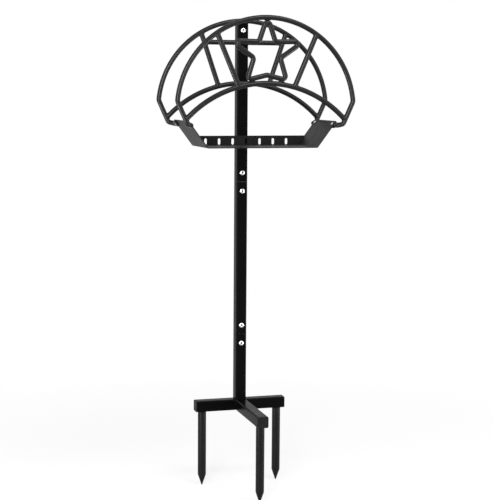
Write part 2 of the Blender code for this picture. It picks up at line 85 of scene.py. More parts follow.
TUBE_WIDTH = size("post_stub", X)
HALF_TUBE = TUBE_WIDTH / 2
ROD = size("back_bar", Y) / 2
FRONT_PLANE = middle("front_star", Y)
BACK_PLANE = middle("back_bar", Y)
POST_TOP = high("post_head_tube", Z)
BAR_HEIGHT = middle("back_bar", Z)
TRAY_FRONT = low("tray", Y)
TRAY_BACK = high("tray", Y)

# Sizes of the wire frames, as the model has them
GAP = 0.0003
HOOP_RADIUS = 0.194
HOOP_HALF_SWEEP = math.radians(84.3)
HOOP_BEND = 0.015
LEG_LENGTH = 0.0525
LEG_LEAN = math.radians(24.3)
SADDLE_RADIUS = 0.239
FRONT_SPOKE_TOP = 0.1088
FRONT_SPOKE_FOOT = 0.061
BACK_SPOKE_TOP = 0.0976
BACK_SPOKE_FOOT = 0.0575
STAR_ARM_REACH = 0.068
STAR_NOTCH_REACH = 0.0323
STAR_LOWER_NOTCH_REACH = 0.045
STAR_STEP = math.radians(36)
STAR_TIP_BEND = 0.0065
STAR_NOTCH_BEND = 0.008

# The lower tips' places among the star's bends
STAR_LOWER_TIPS = (4, 6)

# Taken off the hoops' half depth, which keeps round rods inside the faceted ones' box
HOOP_EASE = 0.00022

# Sizes of the tray and of the feet that are screwed to it
TRAY_THICKNESS = 0.002
TRAY_INSET = 0.0071
TRAY_RISE = 0.0048
TRAY_WALL_LENGTH = 0.0706
TRAY_WALL_ANGLE = math.radians(53.3)
TRAY_BEND = 0.003
TRAY_EDGE = 0.0004
TRAY_EDGE_ANGLE = math.radians(50)
FLANGE_HEIGHT = 0.0219
SLOT_WIDTH = 0.006
SLOT_HEIGHT = 0.0138
SLOT_PITCH = 0.031
SLOT_SILL = 0.0023
SLOT_MARGIN = 0.020
EYE_RADIUS = 0.008
EYE_THICKNESS = 0.004
EYE_FROM_EDGE = 0.010
FOOT_STANDOFF = 0.009
FOOT_BEND = 0.006
FOOT_TRANSITION = 0.0075
FOOT_FLAT_BEFORE_TRAY = 0.0015
EYE_END = math.radians(80)

# Tubes, caps and prongs
TUBE_WALL = 0.0015
TUBE_CORNER = 0.003
TUBE_EDGE = 0.00035
CAP_FLANGE = 0.002
PLUG_LENGTH = 2 * CAP_FLANGE
CAP_ROUNDING = 0.0013
PRONG_RADIUS = size("prong_front", X) / 2
PRONG_LENGTH = -low("prong_front", Z)
PRONG_TAPER = 0.0245
PRONG_SHOULDER_LENGTH = 0.002
PRONG_SHOULDER_DROP = 0.0002
PRONG_POINT = 0.0012

# Fasteners; HEAD_UNDERSIDE and NUT_FACE are shares of the full half width, and SCREW_SCALE is
# the size of the tray's screws against the post's bolts
HEAD_RADIUS = size("post_bolt_1", X) / 2
HEAD_HEIGHT = 0.0033
HEAD_EDGE = 0.0011
HEAD_UNDERSIDE = 0.94
HEAD_BREAK = 0.0003
SOCKET_WIDTH = 0.004
SOCKET_DEPTH = 0.0018
SOCKET_MARGIN = 0.0001
SHANK = 0.003
NUT_ACROSS_FLATS = 0.010
NUT_HEIGHT = 0.005
NUT_CHAMFER = 0.0006
NUT_FACE = 0.97
NUT_BORE_CLEARANCE = 0.0001
THREAD_END = 0.0015
THREAD_PITCH = 0.0005
POST_BOLTS = 5
SCREW_SCALE = 2 / 3
SCREW_END = 0.0004

# The place on a bolt of the socket's material, a dark zinc that paints the shade in the socket
SOCKET_SHADE_INDEX = 1

# Weld beads: their radius, the ripple along them, and how open ones swell from their ends
BEAD = 0.0011
BEAD_RIPPLE = 0.12
BEAD_PITCH = 0.0016
BEAD_POINTS_PER_RIPPLE = 5
BEAD_FEWEST_POINTS = 6
BEAD_END = 0.25
BEAD_SWELL = 0.4
SLIM_BEAD = BEAD * 0.8

# The path of a bead round a rod's end reaches this share of the rod's radius to the front and
# back, which keeps the bead inside the rods' depth, and is rounded off there
BEAD_TUCK = 0.77
BEAD_ROUNDING = 0.12

# Tacks beside a line of touch, beads above and below the rods on the post, and prong beads
TACK_BEAD = BEAD * 0.9
TACK_HALF_LENGTH = 0.006
TACK_DEPTH = 0.72
TACK_STEPS = 12
POST_BEAD_DROP = 0.8
PRONG_BEAD_STANDOFF = BEAD * 0.15
PRONG_BEAD_DROP = BEAD * 0.3

# A direction that no straight bead runs in
ASKEW = Vector((0.3, 0.5, 0.8))

# Facets
ROD_SIDES = 28
ARC_STEP = math.radians(2.5)
TURN_STEP = math.radians(9)
BEND_STEPS = 9
CORNER_SEGMENTS = 8
ROUND_SIDES = 48
BEAD_SIDES = 12
FLOOR_SIDES = 96
EYE_STEPS = 8
TRANSITION_STEPS = 6
POINT_STEPS = 6
DOME_STEPS = 9
TUBE_EDGE_SEGMENTS = 3
CAP_SEGMENTS = 5
TRAY_EDGE_SEGMENTS = 2
SHARP_EDGE = math.radians(32)
TOUCHING = 1e-6

# Places worked out from these sizes
HOOP_CENTRE = POST_TOP - HOOP_RADIUS
SADDLE_TOP = high("front_saddle", Z) - ROD
SADDLE_CENTRE = SADDLE_TOP - SADDLE_RADIUS
HOOP_END = Vector((
    HOOP_RADIUS * math.sin(HOOP_HALF_SWEEP),
    HOOP_CENTRE + HOOP_RADIUS * math.cos(HOOP_HALF_SWEEP),
))
LEG_WAY = Vector((-math.sin(LEG_LEAN), -math.cos(LEG_LEAN)))
LEG_FOOT = HOOP_END + LEG_WAY * LEG_LENGTH
TRAY_SETBACK = TRAY_FRONT - FRONT_PLANE
WALL_WAY = Vector((math.cos(TRAY_WALL_ANGLE), math.sin(TRAY_WALL_ANGLE)))
WALL_NORMAL = Vector((-math.sin(TRAY_WALL_ANGLE), math.cos(TRAY_WALL_ANGLE)))
WALL_TOP = LEG_FOOT + Vector((-TRAY_INSET, TRAY_RISE))
WALL_FOOT = WALL_TOP - WALL_WAY * TRAY_WALL_LENGTH
SCREW_POINT = WALL_TOP - WALL_WAY * EYE_RADIUS
SCREW_DEPTHS = (TRAY_FRONT + EYE_FROM_EDGE, TRAY_BACK - EYE_FROM_EDGE)
EYE_CENTRE = SCREW_POINT - WALL_NORMAL * (GAP + EYE_THICKNESS / 2)
HEAD_SEAT = SCREW_POINT + WALL_NORMAL * (TRAY_THICKNESS + GAP)

FORWARD = Vector((0, -1, 0))
BACKWARD = Vector((0, 1, 0))
RIGHTWARD = Vector((1, 0, 0))
LEFTWARD = Vector((-1, 0, 0))
UPWARD = Vector((0, 0, 1))
DOWNWARD = Vector((0, 0, -1))
SIDES = (("left", -1), ("right", 1))
PRONGS = ("prong_left", "prong_right", "prong_front")

# The Mix node has sockets of one name for each kind of value, so its colours go by number
MIX_COLOURS = (6, 7)
MIX_RESULT = 2


# Node trees


def new_material(name, roughness, metallic=0.0, level=0.5):
    """A material with its shader's plain values set, and its node tree."""
    material = bpy.data.materials.new(name)
    material.use_nodes = True
    tree = material.node_tree
    shader = tree.nodes["Principled BSDF"]
    shader.inputs["Roughness"].default_value = roughness
    shader.inputs["Metallic"].default_value = metallic
    shader.inputs["Specular IOR Level"].default_value = level
    return material, tree, shader


def add_node(tree, kind, **values):
    node = tree.nodes.new(kind)
    for name, value in values.items():
        setattr(node, name, value)
    return node


def noise_at(tree, scale, detail=2.0, stretch=(1, 1, 1)):
    """Noise on Object coordinates, drawn out along an axis where stretch is small."""
    place = add_node(tree, "ShaderNodeTexCoord")
    mapping = add_node(tree, "ShaderNodeMapping")
    mapping.inputs["Scale"].default_value = stretch
    texture = add_node(tree, "ShaderNodeTexNoise")
    texture.inputs["Scale"].default_value = scale
    texture.inputs["Detail"].default_value = detail
    tree.links.new(place.outputs["Object"], mapping.inputs["Vector"])
    tree.links.new(mapping.outputs["Vector"], texture.inputs["Vector"])
    return texture.outputs["Fac"]


def between(tree, value, low_value, high_value, start=0.3, end=0.7):
    """The value, spread from start..end to low_value..high_value."""
    spread = add_node(tree, "ShaderNodeMapRange")
    spread.inputs["From Min"].default_value = start
    spread.inputs["From Max"].default_value = end
    spread.inputs["To Min"].default_value = low_value
    spread.inputs["To Max"].default_value = high_value
    tree.links.new(value, spread.inputs["Value"])
    return spread.outputs["Result"]


def blend_colours(tree, factor, first, second):
    """The first colour where the factor is 0, and the second where it is 1."""
    mix = add_node(tree, "ShaderNodeMix", data_type="RGBA")
    tree.links.new(factor, mix.inputs["Factor"])
    for index, colour in zip(MIX_COLOURS, (first, second)):
        if isinstance(colour, tuple):
            mix.inputs[index].default_value = (*colour, 1)
        else:
            tree.links.new(colour, mix.inputs[index])
    return mix.outputs[MIX_RESULT]


def bump(tree, shader, height, distance, strength):
    node = add_node(tree, "ShaderNodeBump")
    node.inputs["Strength"].default_value = strength
    node.inputs["Distance"].default_value = distance
    tree.links.new(height, node.inputs["Height"])
    tree.links.new(node.outputs["Normal"], shader.inputs["Normal"])


# Finishes

SPECK_BRIGHTNESS = 1.9


def powder_coat(name, dark, light, rough, level, peel):
    """Satin black powder coat: patches a little paler, a fine grain, and orange peel."""
    material, tree, shader = new_material(name, rough, level=level)
    patches = between(tree, noise_at(tree, scale=9, detail=3), 0, 1)
    colour = blend_colours(tree, patches, dark, light)
    grain = between(tree, noise_at(tree, scale=2600, detail=1), 0, 0.5, start=0.55, end=0.8)
    speck = tuple(SPECK_BRIGHTNESS * value for value in light)
    tree.links.new(blend_colours(tree, grain, colour, speck), shader.inputs["Base Color"])
    dull = between(tree, noise_at(tree, scale=35, detail=4), rough - 0.03, rough + 0.04)
    tree.links.new(dull, shader.inputs["Roughness"])
    bump(tree, shader, noise_at(tree, scale=650), distance=0.0003, strength=peel)
    return material


def zinc_plate(name, cool, warm, rough):
    """Zinc plate on turned steel, with a faint blue and yellow cast and fine marks."""
    material, tree, shader = new_material(name, rough, metallic=1.0)
    cast = between(tree, noise_at(tree, scale=260, detail=3), 0, 1)
    tree.links.new(blend_colours(tree, cast, cool, warm), shader.inputs["Base Color"])
    marks = noise_at(tree, scale=3000, stretch=(1, 1, 0.08))
    tree.links.new(between(tree, marks, rough - 0.08, rough + 0.10), shader.inputs["Roughness"])
    bump(tree, shader, marks, distance=0.00005, strength=0.2)
    return material


def dull_zinc():
    """Dip zinc on the hidden sleeves, with its spangle."""
    material, tree, shader = new_material("dull_zinc_dip", 0.45, metallic=1.0)
    place = add_node(tree, "ShaderNodeTexCoord")
    spangle = add_node(tree, "ShaderNodeTexVoronoi")
    spangle.inputs["Scale"].default_value = 160
    tree.links.new(place.outputs["Object"], spangle.inputs["Vector"])
    distance = spangle.outputs["Distance"]
    facet = between(tree, distance, 0, 1, start=0.1, end=0.6)
    colour = blend_colours(tree, facet, (0.50, 0.52, 0.53), (0.64, 0.65, 0.65))
    tree.links.new(colour, shader.inputs["Base Color"])
    tree.links.new(between(tree, distance, 0.36, 0.55), shader.inputs["Roughness"])
    return material


def moulded_plastic():
    """Matt black plastic with the fine pits of its mould."""
    material, tree, shader = new_material("moulded_black_plastic", 0.55, level=0.10)
    patches = between(tree, noise_at(tree, scale=60), 0, 1)
    colour = blend_colours(tree, patches, (0.0025, 0.0025, 0.0028), (0.0040, 0.0040, 0.0044))
    tree.links.new(colour, shader.inputs["Base Color"])
    dull = between(tree, noise_at(tree, scale=90, detail=3), 0.48, 0.62)
    tree.links.new(dull, shader.inputs["Roughness"])
    bump(tree, shader, noise_at(tree, scale=2200), distance=0.0001, strength=0.3)
    return material


# Pieces


def place(x, y, z, turn=Matrix.Identity(4)):
    return Matrix.Translation((x, y, z)) @ turn


def facing(way):
    """The turn that takes Z to this direction, and X to a level one square to it."""
    side = RIGHTWARD if abs(way.y) > abs(way.x) else BACKWARD
    return Matrix((side, way.cross(side), way)).transposed().to_4x4()


def add_object(name, data):
    added = bpy.data.objects.new(name, data)
    bpy.context.scene.collection.objects.link(added)
    return added


def mesh_of(name, bm):
    mesh = bpy.data.meshes.new(name)
    bm.to_mesh(mesh)
    bm.free()
    return mesh


def shade_round(mesh):
    mesh.shade_smooth()
    mesh.set_sharp_from_angle(angle=SHARP_EDGE)


def add_piece(name, bm, material, slot, *nodes, matrix=Matrix.Identity(4)):
    """Turn the bmesh into a piece of the object that stands for these nodes."""
    bmesh.ops.recalc_face_normals(bm, faces=bm.faces[:])
    bmesh.ops.transform(bm, matrix=matrix, verts=bm.verts[:])
    mesh = mesh_of(name, bm)
    mesh.materials.append(material)
    shade_round(mesh)
    piece = add_object(name, mesh)
    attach(piece, "root")
    if nodes:
        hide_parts(*nodes)
    return piece


def add_smooth(node, bm, material, slot, matrix):
    """The smooth piece that stands for one node."""
    return add_piece(f"{node}_smooth", bm, material, slot, node, matrix=matrix)


def keep_flat(piece):
    """Shade the broad faces flat where they run into rounded edges."""
    modifier = piece.modifiers.new("flat_faces", "WEIGHTED_NORMAL")
    modifier.keep_sharp = True


def new_items(made, kind):
    return [item for item in made["geom"] if isinstance(item, kind)]


def extrude_up(bm, faces, height):
    made = bmesh.ops.extrude_face_region(bm, geom=faces)
    bmesh.ops.translate(bm, vec=(0, 0, height), verts=new_items(made, bmesh.types.BMVert))
    return new_items(made, bmesh.types.BMFace)


def extend(bm, edges, matrix):
    """Draw open edges on to where the matrix takes them, and return the new ones."""
    made = bmesh.ops.extrude_edge_only(bm, edges=edges)
    verts = set(new_items(made, bmesh.types.BMVert))
    bmesh.ops.transform(bm, matrix=matrix, verts=list(verts))
    drawn = new_items(made, bmesh.types.BMEdge)
    return [edge for edge in drawn if verts.issuperset(edge.verts)]


def edges_of(made):
    """The edges of a circle that has just been made."""
    return list({edge for vert in made["verts"] for edge in vert.link_edges})


def loft(bm, rings, sides, closed=False, open_end=False):
    """Draw a circle through rings, each a matrix with the circle's half width and thickness."""
    matrix, width, thickness = rings[0]
    made = bmesh.ops.create_circle(
        bm,
        cap_ends=not closed,
        radius=1,
        segments=sides,
        matrix=matrix @ Matrix.Diagonal((width, thickness, 1, 1)),
    )
    first = edges = edges_of(made)
    for before, after in zip(rings, rings[1:]):
        scale = Matrix.Diagonal((after[1] / before[1], after[2] / before[2], 1, 1))
        edges = extend(bm, edges, after[0] @ scale @ before[0].inverted())
    if closed:
        bmesh.ops.bridge_loops(bm, edges=first + edges)
    elif not open_end:
        bmesh.ops.contextual_create(bm, geom=edges)


def turned(profile):
    """A round piece along Z, spun from its (height, radius) outline."""
    bm = bmesh.new()
    verts = [bm.verts.new((radius, 0, height)) for height, radius in profile]
    edges = [bm.edges.new(pair) for pair in zip(verts, verts[1:])]
    bmesh.ops.spin(
        bm,
        geom=verts + edges,
        cent=(0, 0, 0),
        axis=(0, 0, 1),
        angle=math.tau,
        steps=ROUND_SIDES,
        use_merge=True,
    )
    bmesh.ops.remove_doubles(bm, verts=bm.verts[:], dist=TOUCHING)
    return bm


# Rods


def rings_along(points, sizes, normal, end_way=None, closed=False):
    """The rings of a path, from its points and their half widths and half thicknesses.

    The thickness is measured along the normal, which is kept square to the path.
    """
    rings = []
    last = len(points) - 1
    for index, (point, (width, thickness)) in enumerate(zip(points, sizes)):
        before = points[index - 1] if index or closed else point
        after = points[(index + 1) % len(points)] if index < last or closed else point
        way = ((point - before).normalized() + (after - point).normalized()).normalized()
        if index == last and end_way:
            way = end_way
        normal = (normal - way * normal.dot(way)).normalized()
        turn = Matrix((normal.cross(way), normal, way)).transposed().to_4x4()
        rings.append((Matrix.Translation(point) @ turn, width, thickness))
    return rings


def rod(points, closed=False):
    """A round rod along a path in the XZ plane."""
    bm = bmesh.new()
    rings = rings_along(points, [(ROD, ROD)] * len(points), BACKWARD, closed=closed)
    loft(bm, rings, ROD_SIDES, closed=closed)
    return bm


def in_plane(point):
    """An (X, Z) point in a frame's own plane."""
    return Vector((point[0], 0, point[1]))


def round_corner(before, corner, after, radius):
    """The points of the arc that rounds one corner of a path."""
    way_in = (corner - before).normalized()
    way_out = (after - corner).normalized()
    turn = way_in.angle(way_out)
    start = corner - way_in * radius * math.tan(turn / 2)
    across = (way_out - way_in * way_in.dot(way_out)).normalized()
    points = []
    for step in range(BEND_STEPS + 1):
        angle = turn * step / BEND_STEPS
        sideways = across * radius * (1 - math.cos(angle))
        points.append(start + sideways + way_in * radius * math.sin(angle))
    return points


def point_on_arc(radius, centre_height, angle, depth=0):
    """A point of an arc, with its angle counted from the arc's top towards +X."""
    return Vector((radius * math.sin(angle), depth, centre_height + radius * math.cos(angle)))


def arc_points(radius, centre_height, start, end, step_angle=ARC_STEP):
    count = math.ceil(abs(end - start) / step_angle)
    turns = [start + (end - start) * step / count for step in range(count + 1)]
    return [point_on_arc(radius, centre_height, angle) for angle in turns]


def height_on_arc(x, radius, centre_height):
    return centre_height + math.sqrt(radius**2 - x**2)


def hoop(tray_side):
    """The bent hoop of one frame; tray_side is the way along Y in which its feet turn.

    Half of it is drawn, from the end of the right foot's eye up to the hoop's top, and
    mirrored.
    """
    eye = in_plane(EYE_CENTRE)
    hole = TRAY_SETBACK + EYE_FROM_EDGE
    flat = (EYE_RADIUS, EYE_THICKNESS / 2)
    full = (ROD, ROD - HOOP_EASE)
    points = []
    sizes = []
    for step in range(EYE_STEPS, -1, -1):
        angle = EYE_END * step / EYE_STEPS
        points.append(eye + tray_side * (hole + EYE_RADIUS * math.sin(angle)))
        sizes.append((EYE_RADIUS * math.cos(angle), flat[1]))
    flat_end = TRAY_SETBACK - FOOT_FLAT_BEFORE_TRAY
    for step in range(TRANSITION_STEPS + 1):
        share = step / TRANSITION_STEPS
        ease = share * share * (3 - 2 * share)
        points.append(eye + tray_side * (flat_end - FOOT_TRANSITION * share))
        sizes.append(tuple(a + (b - a) * ease for a, b in zip(flat, full)))

    turn = eye + tray_side * FOOT_STANDOFF
    foot = in_plane(LEG_FOOT)
    arc = arc_points(HOOP_RADIUS, HOOP_CENTRE, HOOP_HALF_SWEEP, 0)
    bends = round_corner(points[-1], turn, foot, FOOT_BEND)
    bends += round_corner(turn, foot, in_plane(HOOP_END), FOOT_BEND)
    bends += round_corner(foot, arc[0], arc[1], HOOP_BEND)
    reached = bends[-1].z
    points += bends + [point for point in arc[1:] if point.z > reached + ROD / 2]
    sizes += [full] * (len(points) - len(sizes))

    bm = bmesh.new()
    rings = rings_along(points, sizes, in_plane(WALL_NORMAL), end_way=LEFTWARD)
    loft(bm, rings, ROD_SIDES, open_end=True)
    half = bm.verts[:] + bm.edges[:] + bm.faces[:]
    bmesh.ops.mirror(bm, geom=half, merge_dist=TOUCHING, axis="X")
    return bm


def saddle_half_sweep():
    """The angle at which the saddle's arc meets the centre line of a leg."""
    offset = HOOP_END - Vector((0, SADDLE_CENTRE))
    along = offset.dot(LEG_WAY)
    reach = -along - math.sqrt(along**2 - offset.length_squared + SADDLE_RADIUS**2)
    meeting = offset + LEG_WAY * reach
    return math.atan2(meeting.x, meeting.y)


def saddle_path():
    half_sweep = saddle_half_sweep()
    return arc_points(SADDLE_RADIUS, SADDLE_CENTRE, -half_sweep, half_sweep)


def spoke_ends(top, foot, sign):
    return (
        in_plane((sign * top, height_on_arc(top, HOOP_RADIUS, HOOP_CENTRE))),
        in_plane((sign * foot, height_on_arc(foot, SADDLE_RADIUS, SADDLE_CENTRE))),
    )


def bar_ends():
    ends = []
    for side, sign in SIDES:
        top, foot = spoke_ends(BACK_SPOKE_TOP, BACK_SPOKE_FOOT, sign)
        ends.append(top.lerp(foot, (top.z - BAR_HEIGHT) / (top.z - foot.z)))
    return ends


# Star


def star_centre_and_reach():
    """The height of the star's middle, and the reach of its top and lower tips.

    The star just fits between the hoop's top, above it, and the saddle, below it.
    """
    seat = 2 * ROD + GAP
    top_bend = POST_TOP - seat - STAR_TIP_BEND
    rise = top_bend - SADDLE_CENTRE
    clear = SADDLE_RADIUS + seat + STAR_TIP_BEND
    lean = 1 + math.cos(STAR_STEP)
    half = rise * lean
    reach = (half - math.sqrt(half**2 - 2 * lean * (rise**2 - clear**2))) / (2 * lean)
    return top_bend - reach, reach + STAR_TIP_BEND


def star_bends():
    """Each of the ten bends in turn: its centre, and its radius, below zero for a left turn."""
    height, reach = star_centre_and_reach()
    tips = (reach, STAR_ARM_REACH, reach, reach, STAR_ARM_REACH)
    upper_notches = (STAR_NOTCH_REACH, STAR_NOTCH_REACH)
    notches = (*upper_notches, STAR_LOWER_NOTCH_REACH, *upper_notches)
    bends = []
    angle = 0
    for tip, notch in zip(tips, notches):
        for out, radius in (
            (tip - STAR_TIP_BEND, STAR_TIP_BEND),
            (notch + STAR_NOTCH_BEND, -STAR_NOTCH_BEND),
        ):
            centre = Vector((out * math.sin(angle), height + out * math.cos(angle)))
            bends.append((centre, radius))
            angle += STAR_STEP
    return bends


def right_of(way):
    return Vector((way.y, -way.x))


def star_path():
    """Run the rod round each bend in turn, straight from one bend to the next."""
    bends = star_bends()
    ways = []
    for (centre, radius), (next_centre, next_radius) in zip(bends, bends[1:] + bends[:1]):
        span = next_centre - centre
        offset = next_radius - radius
        straight = math.sqrt(span.length_squared - offset**2)
        ways.append((span * straight - right_of(span) * offset).normalized())
    points = []
    for index, (centre, radius) in enumerate(bends):
        before, after = ways[index - 1], ways[index]
        turn = before.angle_signed(after)
        steps = math.ceil(abs(turn) / TURN_STEP)
        for step in range(steps + 1):
            way = Matrix.Rotation(-turn * step / steps, 2) @ before
            points.append(in_plane(centre - right_of(way) * radius))
    return points


# Weld beads


def bead_sizes(points, thickness, closed):
    """Ripple a bead along its length; an open one swells from its two ends."""
    sizes = []
    length = 0.0
    total = sum((b - a).length for a, b in zip(points, points[1:])) or 1
    for index, point in enumerate(points):
        if index:
            length += (point - points[index - 1]).length
        radius = thickness * (1 + BEAD_RIPPLE * math.sin(math.tau * length / BEAD_PITCH))
        if not closed:
            radius *= max(BEAD_END, math.sin(math.pi * length / total)) ** BEAD_SWELL
        sizes.append((radius, radius))
    return sizes


def add_bead(bm, points, normal, thickness=BEAD, closed=False):
    rings = rings_along(points, bead_sizes(points, thickness, closed), normal, closed=closed)
    loft(bm, rings, BEAD_SIDES, closed=closed)


def bead_round_end(bm, foot, way, other_way, plane):
    """A bead round the end of one rod, where it meets the side of another of the same size.

    foot is where their centre lines meet, way runs along the rod from there, and
    other_way runs along the other rod.
    """
    across = way.cross(other_way).normalized()
    side = across.cross(way)
    square = across.cross(other_way)
    lean = way.dot(square)
    points = []
    for step in range(ROUND_SIDES):
        angle = math.tau * step / ROUND_SIDES
        depth = math.sqrt(math.cos(angle) ** 2 + BEAD_ROUNDING) * math.copysign(1, lean)
        along = (depth - side.dot(square) * math.cos(angle)) / lean
        offset = way * along + side * math.cos(angle) + across * math.sin(angle) * BEAD_TUCK
        points.append(foot + offset * ROD + BACKWARD * plane)
    add_bead(bm, points, way, closed=True)


def tacks_beside_arc(bm, radius, centre_height, angle, plane, rise):
    """Two tacks beside the line where a bent rod touches an arc, in front of it and behind."""
    reach = TACK_HALF_LENGTH / radius
    for side in (-1, 1):
        depth = plane + side * ROD * TACK_DEPTH
        points = []
        for step in range(TACK_STEPS + 1):
            along = angle + reach * (2 * step / TACK_STEPS - 1)
            points.append(point_on_arc(radius + rise, centre_height, along, depth))
        add_bead(bm, points, BACKWARD, TACK_BEAD)


def straight_bead(bm, start, end, thickness=BEAD):
    ripples = (end - start).length / BEAD_PITCH
    count = max(BEAD_FEWEST_POINTS, round(ripples * BEAD_POINTS_PER_RIPPLE))
    points = [start.lerp(end, step / count) for step in range(count + 1)]
    add_bead(bm, points, ASKEW, thickness)


def tangent_on_arc(point, centre_height):
    outward = Vector((point.x, 0, point.z - centre_height)).normalized()
    return Vector((outward.z, 0, -outward.x))


def frame_beads(plane, spoke_top, spoke_foot):
    """The beads that every frame has: at both ends of its spokes and of its saddle."""
    bm = bmesh.new()
    path = saddle_path()
    for side, sign in SIDES:
        top, foot = spoke_ends(spoke_top, spoke_foot, sign)
        way = (foot - top).normalized()
        bead_round_end(bm, top, way, tangent_on_arc(top, HOOP_CENTRE), plane)
        bead_round_end(bm, foot, -way, tangent_on_arc(foot, SADDLE_CENTRE), plane)
        end, inner = (path[0], path[1]) if sign < 0 else (path[-1], path[-2])
        leg = Vector((sign * LEG_WAY.x, 0, LEG_WAY.y))
        bead_round_end(bm, end, (inner - end).normalized(), leg, plane)
    return bm


def add_front_beads(coat):
    bm = frame_beads(FRONT_PLANE, FRONT_SPOKE_TOP, FRONT_SPOKE_FOOT)
    seat = ROD + GAP / 2
    tacks_beside_arc(bm, HOOP_RADIUS, HOOP_CENTRE, 0, FRONT_PLANE, -seat)
    for index in STAR_LOWER_TIPS:
        centre = star_bends()[index][0]
        angle = math.atan2(centre.x, centre.y - SADDLE_CENTRE)
        tacks_beside_arc(bm, SADDLE_RADIUS, SADDLE_CENTRE, angle, FRONT_PLANE, seat)
    add_piece("front_frame_welds", bm, coat, "rod_coat")


def add_back_beads(coat):
    bm = frame_beads(BACK_PLANE, BACK_SPOKE_TOP, BACK_SPOKE_FOOT)
    left, right = bar_ends()
    for end, other, sign in ((left, right, -1), (right, left, 1)):
        top, foot = spoke_ends(BACK_SPOKE_TOP, BACK_SPOKE_FOOT, sign)
        bar_way = (other - end).normalized()
        bead_round_end(bm, end, bar_way, (top - foot).normalized(), BACK_PLANE)
    half_length = HALF_TUBE - TUBE_CORNER
    for height in (POST_TOP, BAR_HEIGHT, SADDLE_TOP):
        for drop in (-POST_BEAD_DROP, POST_BEAD_DROP):
            level = height + drop * ROD
            if level < POST_TOP:
                start = Vector((-half_length, -HALF_TUBE - GAP, level))
                straight_bead(bm, start, start + Vector((2 * half_length, 0, 0)))
    add_piece("back_frame_welds", bm, coat, "rod_coat")


def add_base_beads(coat):
    """Beads round the stub's foot, round the arm's root and round the top of each prong."""
    bm = bmesh.new()
    flat = HALF_TUBE - TUBE_CORNER
    top = high("base_crossbar", Z)
    front = -HALF_TUBE
    sunk = BEAD / 2
    for side, sign in SIDES:
        edge = sign * HALF_TUBE
        straight_bead(bm, Vector((edge, -flat, top)), Vector((edge, flat, top)))
        foot = Vector((edge, front, TUBE_CORNER))
        straight_bead(bm, foot, Vector((edge, front, top - TUBE_CORNER)))
        seam = sign * (HALF_TUBE - sunk)
        straight_bead(bm, Vector((-flat, seam, top)), Vector((flat, seam, top)), SLIM_BEAD)
    for level in (sunk, top - sunk):
        start = Vector((-flat, front, level))
        straight_bead(bm, start, Vector((flat, front, level)), SLIM_BEAD)
    out = PRONG_RADIUS + PRONG_BEAD_STANDOFF
    for node in PRONGS:
        centre = Vector((middle(node, X), middle(node, Y), 0))
        points = []
        for step in range(2 * ROUND_SIDES):
            angle = math.tau * step / (2 * ROUND_SIDES)
            offset = Vector((out * math.cos(angle), out * math.sin(angle), -PRONG_BEAD_DROP))
            points.append(centre + offset)
        add_bead(bm, points, UPWARD, SLIM_BEAD, closed=True)
    add_piece("base_welds", bm, coat, "tube_coat")


# Tubes and caps


def tube_outline(bm):
    """The square tube's outside, with its rounded corners."""
    bmesh.ops.create_grid(bm, x_segments=1, y_segments=1, size=HALF_TUBE)
    bmesh.ops.bevel(
        bm,
        geom=bm.verts[:],
        offset=TUBE_CORNER,
        segments=CORNER_SEGMENTS,
        profile=0.5,
        affect="VERTICES",
        material=-1,
    )


def level_edges(bm, height):
    """The edges that lie at this height."""
    return [
        edge
        for edge in bm.edges
        if all(abs(vert.co.z - height) < TOUCHING for vert in edge.verts)
    ]


def inset(bm, faces, thickness):
    bmesh.ops.inset_region(
        bm,
        faces=faces,
        thickness=thickness,
        use_boundary=True,
        use_even_offset=True,
    )


def round_edges(bm, edges, radius, segments):
    bmesh.ops.bevel(
        bm,
        geom=edges,
        offset=radius,
        segments=segments,
        profile=0.5,
        affect="EDGES",
        material=-1,
    )


def square_tube(length):
    """A length of square tube on its end at Z = 0, with its cut ends eased."""
    bm = bmesh.new()
    tube_outline(bm)
    inner = bm.faces[:]
    inset(bm, inner, TUBE_WALL)
    bmesh.ops.delete(bm, geom=inner, context="FACES")
    extrude_up(bm, bm.faces[:], length)
    ends = level_edges(bm, 0) + level_edges(bm, length)
    outer_ends = [edge for edge in ends if on_outside(edge)]
    round_edges(bm, outer_ends, TUBE_EDGE, TUBE_EDGE_SEGMENTS)
    return bm


def on_outside(edge):
    """Whether both ends of this edge lie on a tube's outer wall, also round its corners."""
    straight = HALF_TUBE - TUBE_CORNER
    outside = HALF_TUBE - TUBE_WALL / 2
    for vert in edge.verts:
        x = max(abs(vert.co.x) - straight, 0)
        y = max(abs(vert.co.y) - straight, 0)
        if straight + math.hypot(x, y) < outside:
            return False
    return True


def end_cap():
    """A flanged plug with a rounded outer face at Z = 0, its plug reaching up into the tube."""
    bm = bmesh.new()
    tube_outline(bm)
    top = extrude_up(bm, bm.faces[:], CAP_FLANGE)
    inset(bm, top, TUBE_WALL + GAP)
    extrude_up(bm, top, PLUG_LENGTH)
    bmesh.ops.delete(bm, geom=top, context="FACES_ONLY")
    round_edges(bm, level_edges(bm, 0), CAP_ROUNDING, CAP_SEGMENTS)
    return bm


def add_tubes(coat):
    places = [
        (node, Z, place(0, 0, low(node, Z)))
        for node in ("post_stub", "post_middle_tube", "post_head_tube")
    ]
    places += [
        ("base_crossbar", X, place(low("base_crossbar", X), 0, HALF_TUBE, facing(RIGHTWARD))),
        ("base_arm", Y, place(0, high("base_arm", Y), HALF_TUBE, facing(FORWARD))),
    ]
    for node, axis, matrix in places:
        tube = square_tube(size(node, axis))
        keep_flat(add_smooth(node, tube, coat, "tube_coat", matrix))


